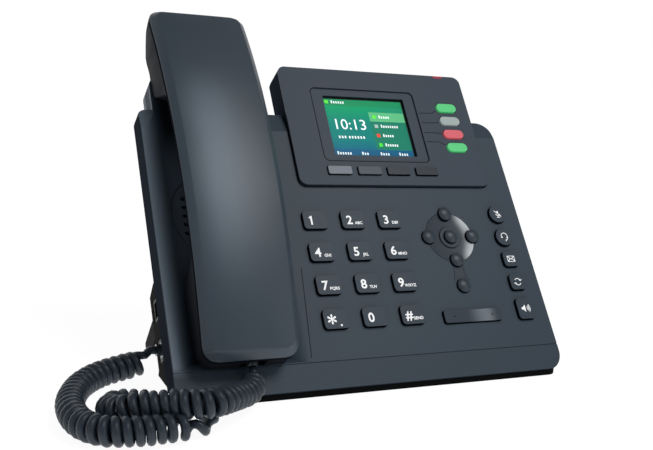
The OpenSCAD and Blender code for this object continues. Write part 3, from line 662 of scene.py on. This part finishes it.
FUNCTION_AT = {"mute_key": (194.5, 94.5), "headset_key": (194.5, 80.4), "message_key": (194.5, 67),
               "redial_key": (194.5, 53.4), "speaker_key": (194.5, 38)}
ICONS = {
    "mute_key": [arc(1.5, 205, 335, dv=0.4), [(0, -1.1), (0, -2)], [(-1, -2.1), (1, -2.1)],
                 [(-1.9, 1.9), (1.9, -1.6)]],
    "headset_key": [arc(1.9, -20, 200, 16, dv=0.3), arc(1.7, -5, -85, 6, dv=-0.6)],
    "message_key": [[(-2.2, -1.6), (2.2, -1.6), (2.2, 1.6), (-2.2, 1.6), (-2.2, -1.6)],
                    [(-2.2, 1.6), (0, -0.3), (2.2, 1.6)],
                    [(-2.2, -1.6), (-0.6, 0.2)], [(2.2, -1.6), (0.6, 0.2)]],
    "redial_key": [arc(1.9, 20, 150), arc(1.9, 200, 330), [(2.5, 1.3), (1.8, 0.5), (1.1, 1.2)],
                   [(-2.5, -1.3), (-1.8, -0.5), (-1.1, -1.2)]],
    "speaker_key": [[(-2.4, -0.6), (-2.4, 0.6)], [(-2, -0.6), (-2, 0.6)], [(-1.6, -0.7), (-1.6, 0.7)],
                    [(-1.2, -1.1), (-1.2, 1.1)], [(-0.8, -1.5), (-0.8, 1.5)], [(-0.4, -1.9), (-0.4, 1.9)],
                    arc(1.3, -40, 40, 6, du=-0.2), arc(2.1, -42, 42, 8, du=-0.2),
                    arc(2.9, -44, 44, 8, du=-0.2)]}
SOLID_PARTS = {"mute_key": [[(0, 0.1), (0, 1.5)]],
               "headset_key": [[(-1.75, -0.3), (-1.75, -0.9)], [(1.75, -0.3), (1.75, -0.9)],
                               [(0.1, -2.3), (0.4, -2.3)]]}
ICON_STROKE, SOLID_STROKE = 0.45, 1.15
for key, lines in ICONS.items():
    strokes(f"icon_{key}", key, *FUNCTION_AT[key], KEY_TOP, lines, ICON_STROKE)
for key, lines in SOLID_PARTS.items():
    strokes(f"solid_{key}", key, *FUNCTION_AT[key], KEY_TOP, lines, SOLID_STROKE)

DASH, UPRIGHT, MARK_STROKE = [(-0.8, 0), (0.8, 0)], [(0, -0.8), (0, 0.8)], 0.35
ROCKER_V = 36
strokes("volume_minus", "volume_rocker", 149.7, ROCKER_V, 1.45, [DASH], MARK_STROKE, "groove")
strokes("volume_plus", "volume_rocker", 172.8, ROCKER_V, 1.4, [DASH, UPRIGHT], MARK_STROKE, "groove")

FACE_W = 2
LEADERS = [[(161.4, 159.2), (169.6, 159.4), (173, 161.2)], [(161.4, 152.8), (169.6, 152.9), (173, 153.7)],
           [(161.4, 146.2), (169.6, 146.3), (173, 145.6)], [(161.4, 140.2), (169.6, 140.3), (173, 138.3)]]
LEADER_STROKE, BEZEL_STROKE = 0.36, 0.5
strokes("leader_lines", "base", 0, 0, FACE_W, LEADERS, LEADER_STROKE, "groove")
BEZEL = (95.85, 159.95, 126.6, 172.8)
BEZEL_R = 3


def rounded_outline(box, r):
    """A closed line round box (left, right, lower, upper), with corners of radius r."""
    left, right, lower, upper = box
    line = (arc(r, 180, 270, 6, left + r, lower + r) + arc(r, 270, 360, 6, right - r, lower + r)
            + arc(r, 0, 90, 6, right - r, upper - r) + arc(r, 90, 180, 6, left + r, upper - r))
    return line + line[:1]


strokes("bezel_line", "base", 0, 0, FACE_W - 0.05, [rounded_outline(BEZEL, BEZEL_R)], BEZEL_STROKE, "groove")


# ---- What the screen shows: bars stand in for words ----

SCREEN_LEFT, SCREEN_LOW, SCREEN_W, SCREEN_H = 102.85, 130.5, 50.3, 37.8
SCREEN_FACE, LAYER_STEP = -0.545, 0.009


def lit(name, rgb, strength=0.7):
    """A colour that the screen shows."""
    if name not in M:
        M[name] = material(name, rgb, 0.5, glow=strength, spec=0.0)
    return M[name]


def screen_bar(name, x, y, w, h, colour, layer):
    """A rectangle on the screen: x and y of its lower left corner, and its size, in mm."""
    u, v = SCREEN_LEFT + x, SCREEN_LOW + y
    corners = [(u, v), (u + w, v), (u + w, v + h), (u, v + h)]
    return plate(name, "base", corners, SCREEN_FACE + LAYER_STEP * layer, colour)


BAR_H, LIST_X, LIST_Y, ROW_H = 5, 27.2, 5.2, 6.05
ICON_SIDE = 2.2
CAPITAL_H = 1.9
# Each is the pitch of a word's letters, and a letter's width and height.
BODY_TEXT, DATE_TEXT, FOOT_TEXT = (1.4, 0.75, 1.4), (1.75, 0.9, 1.5), (1.5, 0.8, 1.4)


def word(prefix, x, y, count, text):
    """A row of small bars, the first one taller, that stands in for a word."""
    pitch, w, h = text
    for k in range(count):
        screen_bar(f"{prefix}_{k}", x + k * pitch, y, w, h if k else CAPITAL_H, lit(*WHITE), 3)


WHITE = ("ui_white", (235, 245, 245))
ROW_COLOURS = [("ui_green", (70, 205, 60)), ("ui_red", (215, 70, 60)), ("ui_grey", (150, 175, 170)),
               ("ui_lime", (90, 215, 60))]
ROW_WORDS = (6, 5, 8, 5)
FOOT_WORDS = ((2.6, 6), (17.4, 3), (28.8, 4), (40.4, 4))


def draw_screen():
    """A dark edge, coloured bands, a list of four rows, a clock and stand-ins for the words."""
    screen_bar("screen_edge_top", -1, SCREEN_H - 0.7, SCREEN_W + 2, 1.6, M["port"], 4)
    screen_bar("screen_edge_right", SCREEN_W - 0.8, -1, 1.8, SCREEN_H + 2, M["port"], 4)
    screen_bar("screen_top", 0, SCREEN_H - BAR_H, SCREEN_W, BAR_H, lit("ui_top", (24, 128, 84)), 1)
    screen_bar("screen_bottom", 0, 0, SCREEN_W, BAR_H, lit("ui_bottom", (16, 84, 118)), 1)
    list_w = SCREEN_W - LIST_X
    screen_bar("screen_list", LIST_X, LIST_Y, list_w, 4 * ROW_H, lit("ui_list", (24, 112, 90)), 1)
    screen_bar("screen_row", LIST_X, LIST_Y + 3 * ROW_H, list_w, ROW_H, lit("ui_row", (86, 170, 118)), 2)
    for i, (colour, count) in enumerate(zip(ROW_COLOURS, ROW_WORDS)):
        y = LIST_Y + i * ROW_H + ROW_H / 2
        screen_bar(f"screen_icon_{i}", LIST_X + 2, y - ICON_SIDE / 2, ICON_SIDE, ICON_SIDE, lit(*colour), 3)
        word(f"screen_word_{i}", LIST_X + 6, y - 0.8, count, BODY_TEXT)
    screen_bar("screen_icon_top", 1.6, SCREEN_H - 3.7, ICON_SIDE, ICON_SIDE, lit(*ROW_COLOURS[3]), 3)
    word("screen_name", 5.5, SCREEN_H - 3.5, 6, BODY_TEXT)
    pitch, w, h = DATE_TEXT
    for k in range(9):
        gap = 0.8 if k > 2 else 0
        screen_bar(f"screen_date_{k}", 5.6 + k * pitch + gap, 11.9, w, h, lit(*WHITE), 3)
    for i, (x, count) in enumerate(FOOT_WORDS):
        word(f"screen_soft_{i}", x, 1.6, count, FOOT_TEXT)
    legend("screen_clock", "base", "10:13", SCREEN_LEFT + 14, SCREEN_LOW + 20.5, -0.54, 9.4, 0.0, "ui_white")


draw_screen()


# ---- Floor and light ----

FLOOR_GLOW = 0.93
# In metres: half the floor's width, its front and back edges, the radius of its curve and the wall's height.
SWEEP_HALF_W, SWEEP_FRONT, SWEEP_BACK, SWEEP_R, SWEEP_TOP = 3.5, -2.5, 1.4, 0.8, 2.2


def studio_sweep():
    """A white floor that curves up into a wall, almost lit from within, so that it stays white."""
    m = material("studio", (120, 120, 120), 0.9, spec=0.0)
    shader = m.node_tree.nodes["Principled BSDF"]
    shader.inputs["Emission Color"].default_value = (1, 1, 1, 1)
    shader.inputs["Emission Strength"].default_value = FLOOR_GLOW
    angles = [math.radians(9 * i) for i in range(1, 11)]
    curve = [(SWEEP_BACK + SWEEP_R * math.sin(a), SWEEP_R - SWEEP_R * math.cos(a)) for a in angles]
    profile = [(SWEEP_FRONT, 0), (SWEEP_BACK, 0)] + curve + [(SWEEP_BACK + SWEEP_R, SWEEP_TOP)]
    verts = [(x, y, z) for y, z in profile for x in (-SWEEP_HALF_W, SWEEP_HALF_W)]
    faces = [(2 * i, 2 * i + 1, 2 * i + 3, 2 * i + 2) for i in range(len(profile) - 1)]
    return new_mesh("studio", verts, faces, m, smooth=True)


studio_sweep()


def area_light(name, place, target, size, watts):
    """A soft white lamp at place, turned to target."""
    data = bpy.data.lights.new(name, "AREA")
    data.shape = "RECTANGLE"
    data.size, data.size_y = size
    data.energy = watts
    obj = bpy.data.objects.new(name, data)
    obj.location = place
    obj.rotation_euler = (Vector(target) - Vector(place)).to_track_quat("-Z", "Y").to_euler()
    scene.collection.objects.link(obj)


area_light("key", (0.45, -0.6, 1.25), (0, 0, 0.08), (0.55, 0.55), 6.2)
area_light("front", (0.9, -1.1, 0.5), (0, 0, 0.08), (0.5, 0.5), 1.2)
area_light("left", (-1.3, -0.7, 0.7), (-0.1, 0, 0.08), (0.6, 0.6), 1)
SKY_STRENGTH = 0.2
world = bpy.data.worlds.new("studio")
world.use_nodes = True
world.node_tree.nodes["Background"].inputs["Color"].default_value = (1, 1, 1, 1)
world.node_tree.nodes["Background"].inputs["Strength"].default_value = SKY_STRENGTH
scene.world = world
scene.view_settings.view_transform = "Standard"
scene.view_settings.look = "None"

bpy.context.view_layer.update()
